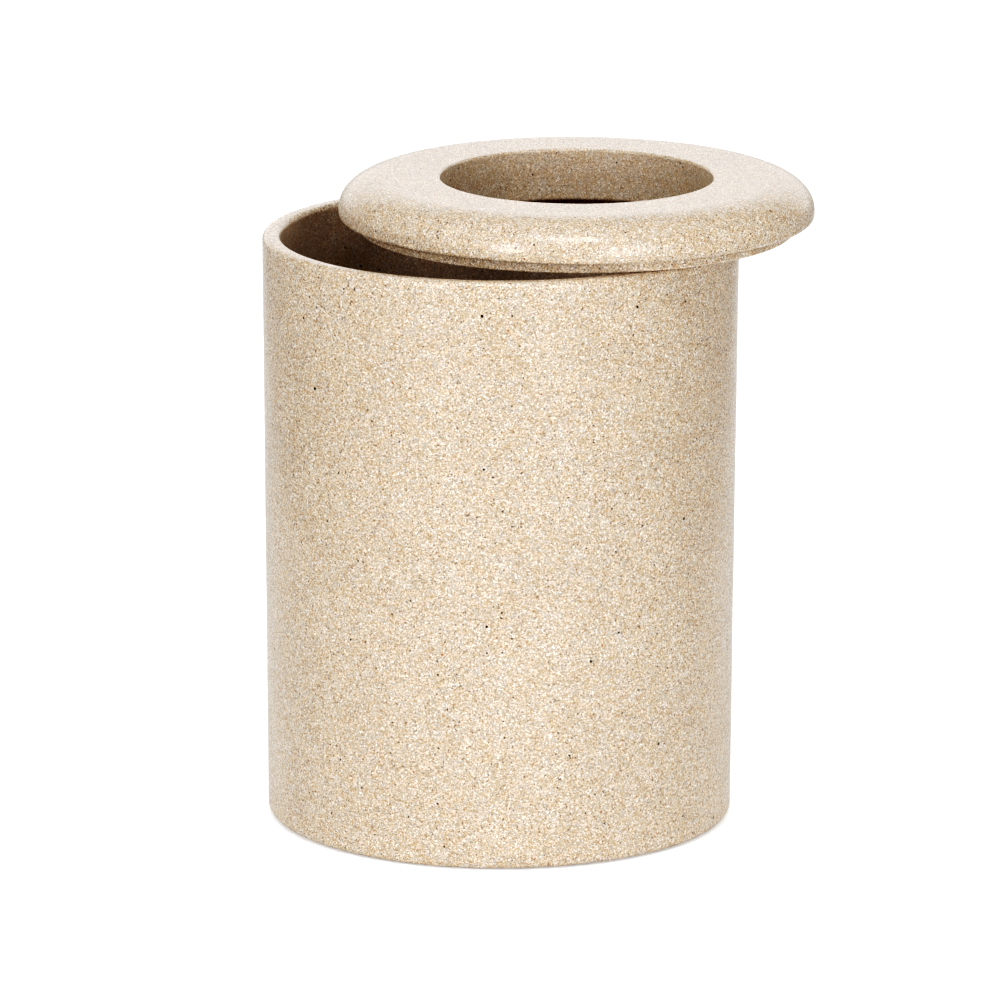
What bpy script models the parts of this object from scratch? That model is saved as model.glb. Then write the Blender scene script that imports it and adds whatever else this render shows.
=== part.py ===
"""Round ashtray bin: a cast pot, a loose ring lid with a wide hole, and four pads under the base.

Metres, +Z up. The origin is on the pot's axis, at the level of the surface the bin stands on.
Both castings are turned profiles. The lid has a low spigot under it that drops into the pot's
mouth when the bin is closed. Here the lid is pushed aside and stands on the rim by its spigot.
"""

import math

import bmesh
import bpy
from mathutils import Matrix, Vector

# ---------- driving dimensions, in metres ----------
RIM_HEIGHT = 0.250          # standing surface to the top of the pot's rim
RIM_RADIUS = 0.100          # outside of the pot at the rim
BASE_RADIUS = 0.0982        # outside of the pot at the base, a little less for draft
WALL_AT_RIM = 0.0076        # wall at the mouth
WALL_AT_BASE = 0.0090       # wall just above the floor, thicker for the core's draft
FLOOR_THICKNESS = 0.010
RIM_ROUNDING = 0.0025       # both edges of the rim
FOOT_ROUNDING = 0.0030      # outside edge of the base
CORNER_ROUNDING = 0.0080    # inside, where the wall meets the floor

LID_OVERHANG = 0.0          # lid's radius beyond the pot's rim: flush
LID_THICKNESS = 0.0171      # ring without its spigot
SHOULDER_WIDTH = 0.0186     # the lid's rounded shoulder, a quarter of an ellipse
SHOULDER_DROP = 0.0134
LID_EDGE_ROUNDING = 0.0018  # lower outside edge of the ring
HOLE_RADIUS = 0.0573        # hole for the waste, straight through ring and spigot
HOLE_ROUNDING = 0.0012      # both ends of the hole
SPIGOT_HEIGHT = 0.0053
SPIGOT_CLEARANCE = 0.0006   # all round, between spigot and mouth
SPIGOT_ROUNDING = 0.0010

PAD_RADIUS = 0.0070         # self-adhesive pads in shallow pockets under the base
PAD_THICKNESS = 0.0015
PAD_PROUD = 0.0006          # how far the pads stand below the base
PAD_COUNT = 4
PAD_CIRCLE_RADIUS = 0.076
POCKET_CLEARANCE = 0.0005   # all round, between pad and pocket

SEAT_GAP = 0.0003           # left between pieces that touch

# Where the lid has been pushed to, seen from above: to the right and a little back.
LID_SHIFT = 0.0330
LID_SHIFT_ANGLE = math.radians(15.4)

TURN_STEPS = 96             # facets round each casting
PAD_STEPS = 32
CORNER_STEPS = 3            # facets on a small rounding
SHOULDER_STEPS = 10

# ---------- sizes that follow from them ----------
BASE_UNDERSIDE = PAD_PROUD
MOUTH_RADIUS = RIM_RADIUS - WALL_AT_RIM
SPIGOT_RADIUS = MOUTH_RADIUS - SPIGOT_CLEARANCE
LID_RADIUS = RIM_RADIUS + LID_OVERHANG
LID_CENTRE = Vector((
    LID_SHIFT * math.cos(LID_SHIFT_ANGLE),
    LID_SHIFT * math.sin(LID_SHIFT_ANGLE),
    RIM_HEIGHT + SEAT_GAP,
))


def clear_scene():
    for obj in list(bpy.data.objects):
        bpy.data.objects.remove(obj, do_unlink=True)


def finish(name, colour, roughness, bump=0.0, grain=1.0):
    """A Principled material, with a fine noise bump where the surface is grainy."""
    material = bpy.data.materials.new(name)
    material.use_nodes = True
    nodes = material.node_tree.nodes
    links = material.node_tree.links
    shader = nodes["Principled BSDF"]
    shader.inputs["Base Color"].default_value = (*colour, 1.0)
    shader.inputs["Roughness"].default_value = roughness
    shader.inputs["Metallic"].default_value = 0.0
    if bump:
        noise = nodes.new("ShaderNodeTexNoise")
        noise.inputs["Scale"].default_value = grain
        relief = nodes.new("ShaderNodeBump")
        relief.inputs["Strength"].default_value = bump
        relief.inputs["Distance"].default_value = 0.0003
        links.new(noise.outputs["Fac"], relief.inputs["Height"])
        links.new(relief.outputs["Normal"], shader.inputs["Normal"])
    return material


def rounding(centre, start, end, across, down=None, steps=CORNER_STEPS):
    """Points (radius, height) along an arc, or an elliptical arc, from one angle to another."""
    down = across if down is None else down
    points = []
    for step in range(steps + 1):
        angle = math.radians(start + (end - start) * step / steps)
        points.append((centre[0] + across * math.cos(angle), centre[1] + down * math.sin(angle)))
    return points


def outside_radius(height):
    """Outside of the pot at a height: straight draft from the base to the rim."""
    share = (height - BASE_UNDERSIDE) / (RIM_HEIGHT - BASE_UNDERSIDE)
    return BASE_RADIUS + (RIM_RADIUS - BASE_RADIUS) * share


def inside_radius(height):
    """Inside of the pot at a height: straight draft from the floor to the mouth."""
    floor = BASE_UNDERSIDE + FLOOR_THICKNESS
    share = (height - floor) / (RIM_HEIGHT - floor)
    at_floor = outside_radius(floor) - WALL_AT_BASE
    return at_floor + (MOUTH_RADIUS - at_floor) * share


def pot_profile():
    """The pot's wall in section, from the underside round the rim to the inside floor."""
    foot = BASE_UNDERSIDE + FOOT_ROUNDING
    rim = RIM_HEIGHT - RIM_ROUNDING
    floor = BASE_UNDERSIDE + FLOOR_THICKNESS
    corner = floor + CORNER_ROUNDING
    return [
        *rounding((outside_radius(foot) - FOOT_ROUNDING, foot), -90, 0, FOOT_ROUNDING),
        *rounding((outside_radius(rim) - RIM_ROUNDING, rim), 0, 90, RIM_ROUNDING),
        *rounding((inside_radius(rim) + RIM_ROUNDING, rim), 90, 180, RIM_ROUNDING),
        *rounding(
            (inside_radius(corner) - CORNER_ROUNDING, corner), 0, -90, CORNER_ROUNDING,
            steps=2 * CORNER_STEPS,
        ),
    ]


def lid_profile():
    """The ring in section, as a closed loop, with its spigot's underside at height 0."""
    top = SPIGOT_HEIGHT + LID_THICKNESS
    shoulder = (LID_RADIUS - SHOULDER_WIDTH, top - SHOULDER_DROP)
    edge = (LID_RADIUS - LID_EDGE_ROUNDING, SPIGOT_HEIGHT + LID_EDGE_ROUNDING)
    spigot_edge = (SPIGOT_RADIUS - SPIGOT_ROUNDING, SPIGOT_ROUNDING)
    hole_foot = (HOLE_RADIUS + HOLE_ROUNDING, HOLE_ROUNDING)
    hole_head = (HOLE_RADIUS + HOLE_ROUNDING, top - HOLE_ROUNDING)
    return [
        *rounding(hole_foot, 180, 270, HOLE_ROUNDING),
        *rounding(spigot_edge, -90, 0, SPIGOT_ROUNDING),
        (SPIGOT_RADIUS, SPIGOT_HEIGHT),
        *rounding(edge, -90, 0, LID_EDGE_ROUNDING),
        *rounding(shoulder, 0, 90, SHOULDER_WIDTH, SHOULDER_DROP, SHOULDER_STEPS),
        *rounding(hole_head, 90, 180, HOLE_ROUNDING),
    ]


def turned(name, profile, material, closed, centre=(0.0, 0.0, 0.0)):
    """Turn a profile round the Z axis. An open profile gets a flat disc over each open end."""
    mesh = bmesh.new()
    points = [mesh.verts.new((radius, 0.0, height)) for radius, height in profile]
    pairs = list(zip(points, points[1:]))
    if closed:
        pairs.append((points[-1], points[0]))
    outline = [mesh.edges.new(pair) for pair in pairs]
    bmesh.ops.spin(
        mesh, geom=points + outline, cent=(0, 0, 0), axis=(0, 0, 1),
        angle=2 * math.pi, steps=TURN_STEPS, use_merge=True, use_duplicate=False,
    )
    bmesh.ops.remove_doubles(mesh, verts=mesh.verts, dist=1e-6)
    if not closed:
        open_edges = [edge for edge in mesh.edges if edge.is_boundary]
        bmesh.ops.holes_fill(mesh, edges=open_edges, sides=0)
    bmesh.ops.recalc_face_normals(mesh, faces=mesh.faces)
    return as_object(name, mesh, material, centre)


def as_object(name, mesh, material, centre):
    data = bpy.data.meshes.new(name)
    mesh.to_mesh(data)
    mesh.free()
    data.materials.append(material)
    data.shade_smooth()
    data.set_sharp_from_angle(angle=math.radians(35))
    obj = bpy.data.objects.new(name, data)
    obj.location = centre
    bpy.context.collection.objects.link(obj)
    return obj


def disc(name, radius, thickness, centre, material):
    """A flat round disc standing on its centre point."""
    mesh = bmesh.new()
    bmesh.ops.create_cone(
        mesh, cap_ends=True, segments=PAD_STEPS, radius1=radius, radius2=radius, depth=thickness,
        matrix=Matrix.Translation((0, 0, thickness / 2)),
    )
    return as_object(name, mesh, material, centre)


def pad_places():
    """Middle of each pad on the standing surface, evenly round the base."""
    for number in range(PAD_COUNT):
        angle = math.radians(45) + 2 * math.pi * number / PAD_COUNT
        yield Vector((math.cos(angle), math.sin(angle), 0)) * PAD_CIRCLE_RADIUS


def make_pads(pot, material):
    """The pads, and a shallow pocket for each in the pot's underside."""
    pocket_depth = PAD_THICKNESS - PAD_PROUD + SEAT_GAP
    for number, place in enumerate(pad_places(), start=1):
        disc(f"base_pad_{number}", PAD_RADIUS, PAD_THICKNESS, place, material)
        overrun = 2 * PAD_PROUD
        start = place + Vector((0, 0, BASE_UNDERSIDE - overrun))
        cutter = disc(
            f"pocket_cutter_{number}", PAD_RADIUS + POCKET_CLEARANCE, pocket_depth + overrun,
            start, material,
        )
        cutter.hide_render = True
        cutter.display_type = "WIRE"
        cut = pot.modifiers.new(f"pocket_{number}", "BOOLEAN")
        cut.operation = "DIFFERENCE"
        cut.solver = "EXACT"
        cut.object = cutter


def main():
    clear_scene()
    cast_stone = finish("cast_sandstone", (0.72, 0.60, 0.46), 0.55, bump=0.4, grain=900.0)
    pad_rubber = finish("pad_rubber", (0.06, 0.055, 0.05), 0.8)
    pot = turned("pot", pot_profile(), cast_stone, closed=False)
    turned("ring_lid", lid_profile(), cast_stone, closed=True, centre=LID_CENTRE)
    make_pads(pot, pad_rubber)


main()
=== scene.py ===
import math

import bmesh
import bpy
from mathutils import Matrix, Vector, noise


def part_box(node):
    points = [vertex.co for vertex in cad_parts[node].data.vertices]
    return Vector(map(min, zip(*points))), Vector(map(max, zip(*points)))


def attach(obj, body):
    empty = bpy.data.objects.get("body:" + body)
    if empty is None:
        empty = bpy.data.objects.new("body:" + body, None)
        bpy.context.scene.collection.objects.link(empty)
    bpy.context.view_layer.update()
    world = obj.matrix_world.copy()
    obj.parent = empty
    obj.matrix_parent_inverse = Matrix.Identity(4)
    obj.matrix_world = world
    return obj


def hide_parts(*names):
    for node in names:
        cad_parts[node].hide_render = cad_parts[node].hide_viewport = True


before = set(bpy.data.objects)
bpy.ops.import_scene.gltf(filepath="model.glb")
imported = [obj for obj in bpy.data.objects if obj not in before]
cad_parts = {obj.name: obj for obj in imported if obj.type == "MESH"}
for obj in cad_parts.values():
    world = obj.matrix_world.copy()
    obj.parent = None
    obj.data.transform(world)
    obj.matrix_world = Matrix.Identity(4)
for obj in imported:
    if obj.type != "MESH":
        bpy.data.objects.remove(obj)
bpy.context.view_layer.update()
print("frame loaded:", ", ".join(sorted(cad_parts)))


camValues = {
    "back": 3.3933,  # metres in front of the pot's axis
    "height": 0.9634,
    "lens": 297.51,  # mm, on a 36 mm sensor
    "tiltDown": 13.725,  # degrees
    "lean": 0.16,  # degrees to the side
}


def makeCamera():
    camData = bpy.data.cameras.new("camera")
    camData.sensor_width = 36
    camData.lens = camValues["lens"]
    cam = bpy.data.objects.new("camera", camData)
    cam.location = (0, -camValues["back"], camValues["height"])
    tilt = Matrix.Rotation(math.radians(90 - camValues["tiltDown"]), 3, "X")
    lean = Matrix.Rotation(math.radians(camValues["lean"]), 3, "Z")
    cam.rotation_euler = (tilt @ lean).to_euler()
    bpy.context.collection.objects.link(cam)
    bpy.context.scene.camera = cam


makeCamera()
print("camera placed")


def roundCorner(bm, corner, radius, steps):
    bmesh.ops.bevel(
        bm, geom=[corner], offset=radius, affect="VERTICES", segments=steps,
        profile=0.5, material=-1,
    )


def ellipseArc(bm, centre, width, drop, steps):
    # a quarter ellipse in the XZ plane, from its outer end up to its top
    start = bmesh.ops.create_vert(bm, co=(1, 0, 0))["vert"]
    before = set(bm.verts) - set(start)
    end = bmesh.ops.spin(
        bm, geom=start, cent=(0, 0, 0), axis=(0, -1, 0), angle=math.pi / 2, steps=steps
    )["geom_last"]
    curve = [v for v in bm.verts if v not in before]
    bmesh.ops.scale(bm, vec=(width, 1, drop), verts=curve)
    bmesh.ops.translate(bm, vec=centre, verts=curve)
    return start[0], [v for v in end if isinstance(v, bmesh.types.BMVert)][0]


def divideStraights(bm, length, guard):
    # long straight stretches get a short guard piece at each end, then even steps between
    for edge in [e for e in bm.edges if e.calc_length() > 3 * guard]:
        span = edge.calc_length()
        _, corner = bmesh.utils.edge_split(edge, edge.verts[0], guard / span)
        rest = max(corner.link_edges, key=lambda e: e.calc_length())
        rest, corner = bmesh.utils.edge_split(
            rest, rest.other_vert(corner), guard / rest.calc_length()
        )
        rest = max(corner.link_edges, key=lambda e: e.calc_length())
        cuts = int(rest.calc_length() / length)
        if cuts:
            bmesh.ops.subdivide_edges(bm, edges=[rest], cuts=cuts)


def turn(bm, steps, centre):
    bmesh.ops.spin(
        bm, geom=bm.verts[:] + bm.edges[:], cent=(0, 0, 0), axis=(0, 0, 1),
        angle=2 * math.pi, steps=steps, use_merge=True,
    )
    bmesh.ops.remove_doubles(bm, verts=bm.verts, dist=1e-6)
    bmesh.ops.recalc_face_normals(bm, faces=bm.faces)
    bmesh.ops.translate(bm, vec=centre, verts=bm.verts)


def handFinish(bm, unevenness):
    # a cast and rubbed surface is never quite true; each size of wave is read far from the next
    bm.normal_update()
    for v in bm.verts:
        shift = sum(
            depth * noise.noise(v.co / size + Vector((size, 0, 0)) * 1000)
            for size, depth in unevenness.items()
        )
        v.co += v.normal * shift


def asPiece(bm, name, *materials):
    mesh = bpy.data.meshes.new(name)
    bm.to_mesh(mesh)
    bm.free()
    mesh.shade_smooth()
    for material in materials:
        mesh.materials.append(material)
    piece = bpy.data.objects.new(name, mesh)
    bpy.context.collection.objects.link(piece)
    return piece


def addNode(tree, kind, inputs=None, **settings):
    node = tree.nodes.new(kind)
    for name, value in settings.items():
        setattr(node, name, value)
    for name, value in (inputs or {}).items():
        if isinstance(value, bpy.types.NodeSocket):
            tree.links.new(value, node.inputs[name])
        else:
            node.inputs[name].default_value = value
    return node


def addRamp(tree, factor, stops, blend="CONSTANT"):
    ramp = addNode(tree, "ShaderNodeValToRGB", {"Fac": factor})
    ramp.color_ramp.interpolation = blend
    for place in list(stops)[2:]:
        ramp.color_ramp.elements.new(place)
    for element, (place, colour) in zip(ramp.color_ramp.elements, sorted(stops.items())):
        element.position = place
        element.color = (*colour, 1) if isinstance(colour, tuple) else (colour, colour, colour, 1)
    return ramp.outputs["Color"]


def mixColour(tree, factor, a, b, blend="MIX"):
    mix = tree.nodes.new("ShaderNodeMix")
    mix.data_type = "RGBA"
    mix.blend_type = blend
    for socket, value in (("Factor_Float", factor), ("A_Color", a), ("B_Color", b)):
        target = next(s for s in mix.inputs if s.identifier == socket)
        if isinstance(value, bpy.types.NodeSocket):
            tree.links.new(value, target)
        else:
            target.default_value = value if socket == "Factor_Float" else (*value, 1)
    return next(s for s in mix.outputs if s.identifier == "Result_Color")


def doMath(tree, operation, a, b=0.0):
    return addNode(tree, "ShaderNodeMath", {0: a, 1: b}, operation=operation).outputs["Value"]


stoneValues = {
    "coarseGrain": 0.0005,  # metres across
    "fineGrain": 0.00033,
    "coarseShare": 0.35,  # of the surface
    "bendScale": 1300.0,
    "bendReach": 0.0009,  # metres
    "grainColours": {  # share of the grains up to each place, and their colour
        0.0: (0.95, 0.89, 0.83),
        0.11: (0.77, 0.67, 0.54),
        0.28: (0.60, 0.49, 0.37),
        0.50: (0.47, 0.36, 0.255),
        0.69: (0.42, 0.39, 0.36),
        0.85: (0.42, 0.29, 0.185),
        0.94: (0.19, 0.15, 0.12),
    },
    "meanAndShadeColour": (0.58, 0.487, 0.387),
    "evenness": 0.0,  # how far every grain is drawn to the mean colour
    "smallestSpeck": 0.4,  # of the largest
    "specks": {  # spacing, largest radius, share, colour
        "black": (0.009, 0.0007, 0.5, (0.015, 0.014, 0.013)),
        "brown": (0.0038, 0.0005, 0.6, (0.08, 0.065, 0.05)),
        "rust": (0.008, 0.0005, 0.5, (0.33, 0.13, 0.06)),
    },
    "cloudSize": 0.03,
    "cloudStrength": 0.08,
    "blotchSize": 0.0035,
    "blotchColour": (1.0, 0.94, 0.87),
    "roughness": 0.23,
    "roughnessSpread": 0.16,  # from the glossiest grain to the dullest
    "ior": 1.5,
    "relief": 0.00004,  # metres
}
# inside the pot and the hole the casting is rougher, as it came from the mould, and its grains
# are drawn a third of the way to a darker brown: painted shade for the dim inside
insideShadeValues = {
    **stoneValues, "meanAndShadeColour": (0.46, 0.378, 0.298), "evenness": 0.35, "roughness": 0.4,
}


def stoneMaterial(name, values):
    material = bpy.data.materials.new(name)
    material.use_nodes = True
    tree = material.node_tree
    shader = tree.nodes["Principled BSDF"]
    place = addNode(tree, "ShaderNodeTexCoord").outputs["Object"]

    # grains are not neat cells: a fine noise bends their outlines
    bend = addNode(
        tree, "ShaderNodeTexNoise",
        {"Vector": place, "Scale": values["bendScale"], "Detail": 1.0},
    )
    bend = addNode(
        tree, "ShaderNodeVectorMath", {0: bend.outputs["Color"], 1: (0.5, 0.5, 0.5)},
        operation="SUBTRACT",
    ).outputs["Vector"]
    bend = addNode(
        tree, "ShaderNodeVectorMath", {0: bend, 1: (values["bendReach"],) * 3},
        operation="MULTIPLY",
    ).outputs["Vector"]
    bent = addNode(
        tree, "ShaderNodeVectorMath", {0: place, 1: bend}, operation="ADD",
    ).outputs["Vector"]

    def grains(size):
        cells = addNode(tree, "ShaderNodeTexVoronoi", {"Vector": bent, "Scale": 1 / size})
        pick = addNode(tree, "ShaderNodeSeparateColor", {"Color": cells.outputs["Color"]})
        return cells.outputs["Distance"], pick.outputs["Red"], pick.outputs["Green"]

    coarseDome, coarsePick, coarseGloss = grains(values["coarseGrain"])
    fineDome, finePick, _ = grains(values["fineGrain"])
    coarse = addRamp(tree, coarsePick, values["grainColours"])
    fine = addRamp(tree, finePick, values["grainColours"])
    onTop = doMath(tree, "LESS_THAN", coarseGloss, values["coarseShare"])
    colour = mixColour(tree, onTop, fine, coarse)
    # evenness draws every grain towards this colour; for the outer stone it is the grains' mean,
    # for the inside stone a darker brown that is painted shade
    colour = mixColour(tree, values["evenness"], colour, values["meanAndShadeColour"])

    cloud = addNode(
        tree, "ShaderNodeTexNoise",
        {"Vector": place, "Scale": 1 / values["cloudSize"], "Detail": 4.0, "Roughness": 0.6},
    ).outputs["Fac"]
    strength = values["cloudStrength"]
    cloud = addRamp(tree, cloud, {0.3: 1 - strength, 0.7: 1.0}, "LINEAR")
    colour = mixColour(tree, 1.0, colour, cloud, "MULTIPLY")

    # iron in the sand stains small patches of it peach
    blotch = addNode(
        tree, "ShaderNodeTexNoise",
        {"Vector": place, "Scale": 1 / values["blotchSize"], "Detail": 2.0},
    ).outputs["Fac"]
    blotch = addRamp(tree, blotch, {0.42: values["blotchColour"], 0.58: (1, 1, 1)}, "LINEAR")
    colour = mixColour(tree, 1.0, colour, blotch, "MULTIPLY")

    for spacing, radius, share, speckColour in values["specks"].values():
        cells = addNode(tree, "ShaderNodeTexVoronoi", {"Vector": bent, "Scale": 1 / spacing})
        pick = addNode(tree, "ShaderNodeSeparateColor", {"Color": cells.outputs["Color"]})
        reach = addNode(
            tree, "ShaderNodeMapRange",
            {
                "Value": pick.outputs["Green"],
                "To Min": values["smallestSpeck"] * radius / spacing,
                "To Max": radius / spacing,
            },
        ).outputs["Result"]
        inside = doMath(tree, "LESS_THAN", cells.outputs["Distance"], reach)
        chosen = doMath(tree, "LESS_THAN", pick.outputs["Red"], share)
        speck = doMath(tree, "MULTIPLY", inside, chosen)
        colour = mixColour(tree, speck, colour, speckColour)
    tree.links.new(colour, shader.inputs["Base Color"])

    spread = values["roughnessSpread"]
    gloss = doMath(tree, "MULTIPLY_ADD", coarseGloss, spread)
    gloss.node.inputs[2].default_value = values["roughness"] - spread / 2
    tree.links.new(gloss, shader.inputs["Roughness"])
    shader.inputs["IOR"].default_value = values["ior"]

    height = doMath(tree, "ADD", doMath(tree, "MULTIPLY", coarseDome, 0.6), fineDome)
    relief = addNode(
        tree, "ShaderNodeBump", {"Height": height, "Strength": 0.5, "Distance": values["relief"]}
    )
    tree.links.new(relief.outputs["Normal"], shader.inputs["Normal"])
    return material


rubberValues = {
    "colour": (0.045, 0.042, 0.04),
    "mottleScale": 1800.0,
    "roughness": 0.75,
    "relief": 0.00005,  # metres
}


def rubberMaterial(values):
    material = bpy.data.materials.new("padRubber")
    material.use_nodes = True
    tree = material.node_tree
    shader = tree.nodes["Principled BSDF"]
    place = addNode(tree, "ShaderNodeTexCoord").outputs["Object"]
    mottle = addNode(
        tree, "ShaderNodeTexNoise",
        {"Vector": place, "Scale": values["mottleScale"], "Detail": 3.0},
    ).outputs["Fac"]
    lighter = tuple(2 * c for c in values["colour"])
    colour = mixColour(tree, mottle, values["colour"], lighter)
    tree.links.new(colour, shader.inputs["Base Color"])
    shader.inputs["Roughness"].default_value = values["roughness"]
    relief = addNode(
        tree, "ShaderNodeBump", {"Height": mottle, "Strength": 0.6, "Distance": values["relief"]}
    )
    tree.links.new(relief.outputs["Normal"], shader.inputs["Normal"])
    return material


castStone = stoneMaterial("castStone", stoneValues)
# the inside stone is a darker copy of the cast stone: painted shade
insideStoneShaded = stoneMaterial("insideStoneShaded", insideShadeValues)
padRubber = rubberMaterial(rubberValues)
print("materials made")


seam = 0.0002  # how far past an inner wall its rougher finish and painted shade reach

potValues = {
    "baseRadius": 0.0982,
    "wallAtRim": 0.0076,
    "wallAtBase": 0.0090,
    "floorThickness": 0.010,
    "rimRounding": 0.0025,
    "footRounding": 0.0030,
    "cornerRounding": 0.0080,
    "pocketRadius": 0.0075,
    "pocketDepth": 0.0012,
    "pocketFacets": 48,
    "pocketTurn": math.radians(3),
    "facets": 360,
    "cornerSteps": 8,
    "stretch": 0.0045,  # longest step along a straight wall
    "guard": 0.0004,  # short step at each end of it
    "unevenness": {0.055: 0.00012, 0.014: 0.00004},  # size of a wave: its depth
}


def makePot(values):
    low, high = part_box("pot")
    rim, foot, rimRadius = high[2], low[2], high[0]
    floor = foot + values["floorThickness"]
    mouth = rimRadius - values["wallAtRim"]
    corners = [  # radius, height, rounding
        (0, foot, 0),
        (values["baseRadius"], foot, values["footRounding"]),
        (rimRadius, rim, values["rimRounding"]),
        (mouth, rim, values["rimRounding"]),
        (values["baseRadius"] - values["wallAtBase"], floor, values["cornerRounding"]),
        (0, floor, 0),
    ]
    bm = bmesh.new()
    points = [bm.verts.new((radius, 0, height)) for radius, height, _ in corners]
    for a, b in zip(points, points[1:]):
        bm.edges.new((a, b))
    for point, (_, _, rounding) in zip(points, corners):
        if rounding:
            roundCorner(bm, point, rounding, values["cornerSteps"])
    divideStraights(bm, values["stretch"], values["guard"])
    turn(bm, values["facets"], (0, 0, 0))
    # faces inside the mouth, above the foot's rounding, get the inside stone, whose darker colour
    # is painted shade
    for face in bm.faces:
        centre = face.calc_center_median()
        inside = (
            centre.xy.length < mouth + seam and centre.z > foot + values["footRounding"]
        )
        face.material_index = int(inside)
    handFinish(bm, values["unevenness"])
    pot = asPiece(bm, "castPot", castStone, insideStoneShaded)
    cutPockets(pot, foot, values)
    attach(pot, "bin")
    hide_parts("pot")


def cutPockets(pot, foot, values):
    # one shallow round pocket over each pad, cut for good so that no cutter is left
    bm = bmesh.new()
    for node in padNodes():
        low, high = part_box(node)
        centre = Vector(low).lerp(Vector(high), 0.5)
        made = bmesh.ops.create_cone(
            bm, cap_ends=True, segments=values["pocketFacets"], radius1=values["pocketRadius"],
            radius2=values["pocketRadius"], depth=2 * values["pocketDepth"],
        )["verts"]
        # turned a little, so that no corner of it meets an edge of the turned pot
        bmesh.ops.rotate(bm, matrix=Matrix.Rotation(values["pocketTurn"], 3, "Z"), verts=made)
        bmesh.ops.translate(bm, vec=(centre.x, centre.y, foot), verts=made)
    cutter = asPiece(bm, "pocketCutter", castStone)
    cut = pot.modifiers.new("pockets", "BOOLEAN")
    cut.operation = "DIFFERENCE"
    cut.solver = "EXACT"
    cut.object = cutter
    finished = pot.evaluated_get(bpy.context.evaluated_depsgraph_get())
    solid = bpy.data.meshes.new_from_object(finished)
    pot.modifiers.clear()
    pot.data = solid
    bpy.data.objects.remove(cutter)


def padNodes():
    return sorted(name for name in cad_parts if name.startswith("base_pad_"))


makePot(potValues)
print("pot turned")


lidValues = {
    "shoulderWidth": 0.0186,
    "shoulderDrop": 0.0134,
    "edgeRounding": 0.0018,
    "holeRadius": 0.0573,
    "holeRounding": 0.0012,
    "spigotHeight": 0.0053,
    "spigotRadius": 0.0918,
    "spigotRounding": 0.0010,
    "rootRounding": 0.0004,
    "facets": 360,
    "cornerSteps": 8,
    "shoulderSteps": 24,
    "stretch": 0.003,
    "guard": 0.0004,
    "unevenness": {0.05: 0.00012, 0.012: 0.00004},
}


def makeLid(values):
    low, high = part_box("ring_lid")
    middle = Vector(low).lerp(Vector(high), 0.5)
    radius = high[0] - middle.x
    top = high[2] - low[2]
    ledge = values["spigotHeight"]
    bm = bmesh.new()
    shoulderCentre = (radius - values["shoulderWidth"], 0, top - values["shoulderDrop"])
    shoulderStart, shoulderEnd = ellipseArc(
        bm, shoulderCentre, values["shoulderWidth"], values["shoulderDrop"],
        values["shoulderSteps"],
    )
    corners = [  # radius, height, rounding
        (values["holeRadius"], top, values["holeRounding"]),
        (values["holeRadius"], 0, values["holeRounding"]),
        (values["spigotRadius"], 0, values["spigotRounding"]),
        (values["spigotRadius"], ledge, values["rootRounding"]),
        (radius, ledge, values["edgeRounding"]),
    ]
    points = [bm.verts.new((r, 0, height)) for r, height, _ in corners]
    for a, b in zip([shoulderEnd, *points], [*points, shoulderStart]):
        bm.edges.new((a, b))
    for point, (_, _, rounding) in zip(points, corners):
        roundCorner(bm, point, rounding, values["cornerSteps"])
    divideStraights(bm, values["stretch"], values["guard"])
    turn(bm, values["facets"], (middle.x, middle.y, low[2]))
    # the hole's bore gets the inside stone, whose darker colour is painted shade
    for face in bm.faces:
        reach = (face.calc_center_median().xy - middle.xy).length
        face.material_index = int(reach < values["holeRadius"] + seam)
    handFinish(bm, values["unevenness"])
    lid = asPiece(bm, "castRingLid", castStone, insideStoneShaded)
    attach(lid, "lid")
    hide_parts("ring_lid")


makeLid(lidValues)
print("lid turned")


padValues = {"edgeRounding": 0.0004, "facets": 64}


def makePads(values):
    for node in padNodes():
        low, high = Vector(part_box(node)[0]), Vector(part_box(node)[1])
        bm = bmesh.new()
        bmesh.ops.create_cone(
            bm, cap_ends=True, segments=values["facets"], radius1=(high.x - low.x) / 2,
            radius2=(high.x - low.x) / 2, depth=high.z - low.z,
        )
        bmesh.ops.translate(bm, vec=low.lerp(high, 0.5), verts=bm.verts)
        lower = [e for e in bm.edges if all(v.co.z < low.z + 1e-6 for v in e.verts)]
        bmesh.ops.bevel(
            bm, geom=lower, offset=values["edgeRounding"], affect="EDGES", segments=4,
            profile=0.5, material=-1,
        )
        pad = asPiece(bm, node.replace("base_pad", "rubberPad"), padRubber)
        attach(pad, "bin")
        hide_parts(node)


makePads(padValues)
print("pads made")


studioValues = {
    "floorWidth": 1.0,
    "floorFront": -0.7,
    "floorBack": 2.6,
    "floorColour": (0.9, 0.9, 0.9),
    "floorRoughness": 0.9,
    "floorGlow": 0.38,  # only as seen directly, so that it stays clean white
    # a glow grows from one share of its direction to another, up to its strength
    "topGlow": (0.5, 0.95, 0.845),
    "sideGlow": (0.7, 0.9, 0.61),
    "backGlow": (0.65, 0.89, 1.5),
    "lowGlow": (0.02, -0.02, 0.46),  # past the floor's edges
    "seenWhite": 1.05,  # the surroundings, as seen directly
}


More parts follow.
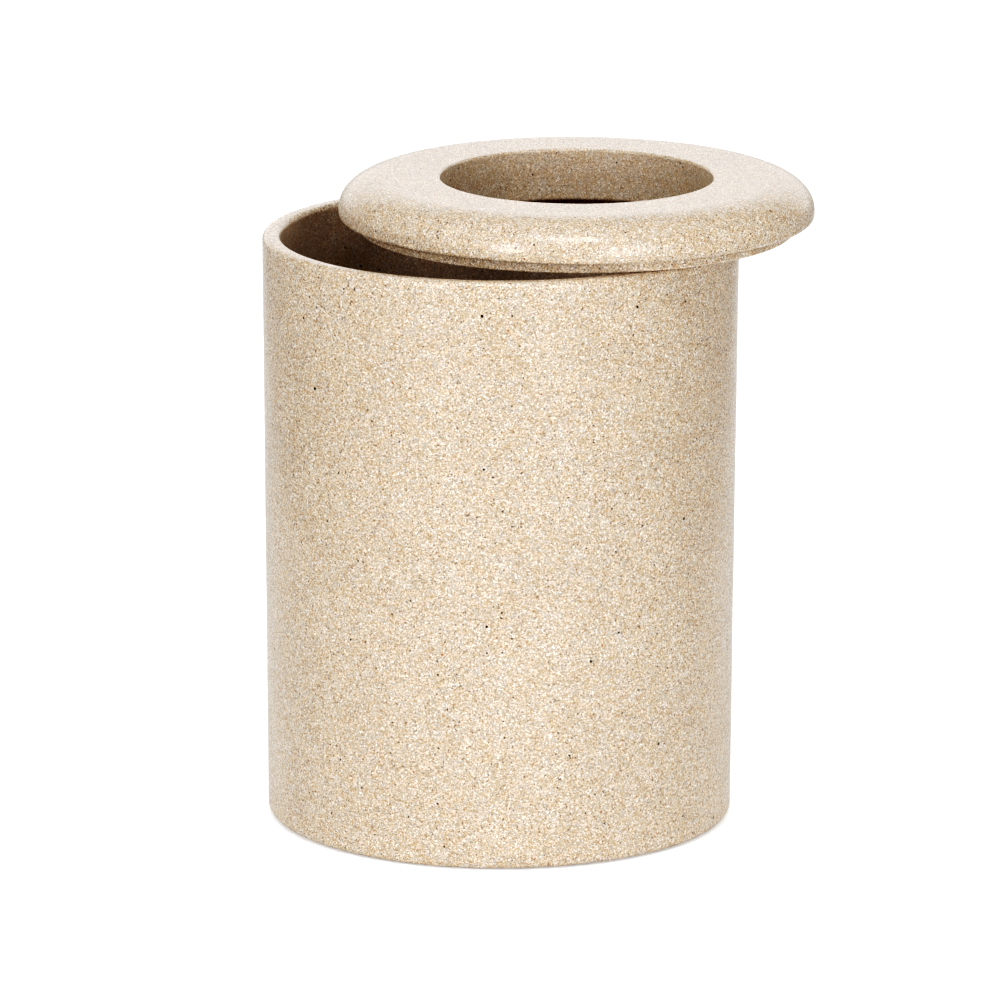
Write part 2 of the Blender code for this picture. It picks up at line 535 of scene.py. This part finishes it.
def makeFloor(values):
    bm = bmesh.new()
    bmesh.ops.create_grid(bm, x_segments=1, y_segments=1, size=0.5)
    length = values["floorBack"] - values["floorFront"]
    bmesh.ops.scale(bm, vec=(values["floorWidth"], length, 1), verts=bm.verts)
    middle = (values["floorBack"] + values["floorFront"]) / 2
    bmesh.ops.translate(bm, vec=(0, middle, 0), verts=bm.verts)
    material = bpy.data.materials.new("paleFloor")
    material.use_nodes = True
    shader = material.node_tree.nodes["Principled BSDF"]
    shader.inputs["Base Color"].default_value = (*values["floorColour"], 1)
    shader.inputs["Roughness"].default_value = values["floorRoughness"]
    shader.inputs["Emission Color"].default_value = (1, 1, 1, 1)
    seen = addNode(material.node_tree, "ShaderNodeLightPath").outputs["Is Camera Ray"]
    glow = doMath(material.node_tree, "MULTIPLY", seen, values["floorGlow"])
    material.node_tree.links.new(glow, shader.inputs["Emission Strength"])
    asPiece(bm, "floor", material)


def makeSurroundings(values):
    world = bpy.data.worlds.new("softStudio")
    world.use_nodes = True
    tree = world.node_tree
    backdrop = tree.nodes["Background"]
    backdrop.inputs["Color"].default_value = (1, 1, 1, 1)
    direction = addNode(tree, "ShaderNodeTexCoord").outputs["Generated"]
    split = addNode(tree, "ShaderNodeSeparateXYZ", {"Vector": direction})

    def glow(value, start, end, strength):
        return addNode(
            tree, "ShaderNodeMapRange",
            {"Value": value, "From Min": start, "From Max": end, "To Max": strength},
        ).outputs["Result"]

    sideways = doMath(tree, "ABSOLUTE", split.outputs["X"])
    top = glow(split.outputs["Z"], *values["topGlow"])
    back = glow(split.outputs["Y"], *values["backGlow"])
    side = glow(sideways, *values["sideGlow"])
    above = doMath(tree, "ADD", top, doMath(tree, "ADD", back, side))
    above = doMath(tree, "MULTIPLY", above, glow(split.outputs["Z"], -0.02, 0.02, 1.0))
    below = glow(split.outputs["Z"], *values["lowGlow"])
    light = doMath(tree, "ADD", above, below)
    seen = addNode(tree, "ShaderNodeLightPath").outputs["Is Camera Ray"]
    strength = doMath(tree, "MAXIMUM", light, doMath(tree, "MULTIPLY", seen, values["seenWhite"]))
    tree.links.new(strength, backdrop.inputs["Strength"])
    bpy.context.scene.world = world


aimHeight = 0.14  # every light points at the pot's axis, this far up
lightValues = {  # name: degrees round from the front, degrees up, distance, width, height, watts
    "leftLow": (-30, 4, 2.0, 0.12, 0.4, 5.0),
    "leftHigh": (-34, 21, 2.0, 0.3, 0.8, 12.2),
    "rightLow": (24, 4, 2.0, 0.12, 0.4, 8.6),
    "rightHigh": (29, 21, 2.0, 0.3, 0.8, 9.2),
    "frontTop": (0, 62, 1.5, 0.6, 0.4, 7.3),
    "backLeft": (-140, 12, 2.0, 0.5, 0.6, 7.5),
    "backRight": (142, 12, 2.0, 0.5, 0.6, 6.5),
}


def makeLights(values):
    aim = Vector((0, 0, aimHeight))
    for name, (round_, up, distance, width, height, watts) in values.items():
        lightData = bpy.data.lights.new(name, "AREA")
        lightData.shape = "RECTANGLE"
        lightData.size = width
        lightData.size_y = height
        lightData.energy = watts
        light = bpy.data.objects.new(name, lightData)
        a, e = math.radians(round_), math.radians(up)
        out = Vector((math.sin(a) * math.cos(e), -math.cos(a) * math.cos(e), math.sin(e)))
        light.location = aim + out * distance
        light.rotation_euler = (-out).to_track_quat("-Z", "Y").to_euler()
        light.visible_glossy = not name.startswith("back")  # so no glare on the lid's shoulder
        bpy.context.collection.objects.link(light)


contrastValues = {  # curve 3 acts on all channels, curve 0 on red: light in, light shown
    3: {0.051: 0.0037, 0.133: 0.037, 0.264: 0.181, 0.448: 0.43, 0.604: 0.62, 0.787: 0.79},
    0: {0.03: 0.037, 0.12: 0.124, 0.3: 0.3},
}


def setContrast(values):
    # deep shadows are held down and everything from the mid tones up stays as lit
    look = bpy.context.scene.view_settings
    look.view_transform = "Standard"
    look.use_curve_mapping = True
    for curve, points in values.items():
        for light, shown in points.items():
            look.curve_mapping.curves[curve].points.new(light, shown)
    look.curve_mapping.update()


makeFloor(studioValues)
makeSurroundings(studioValues)
makeLights(lightValues)
setContrast(contrastValues)
print("studio lit")
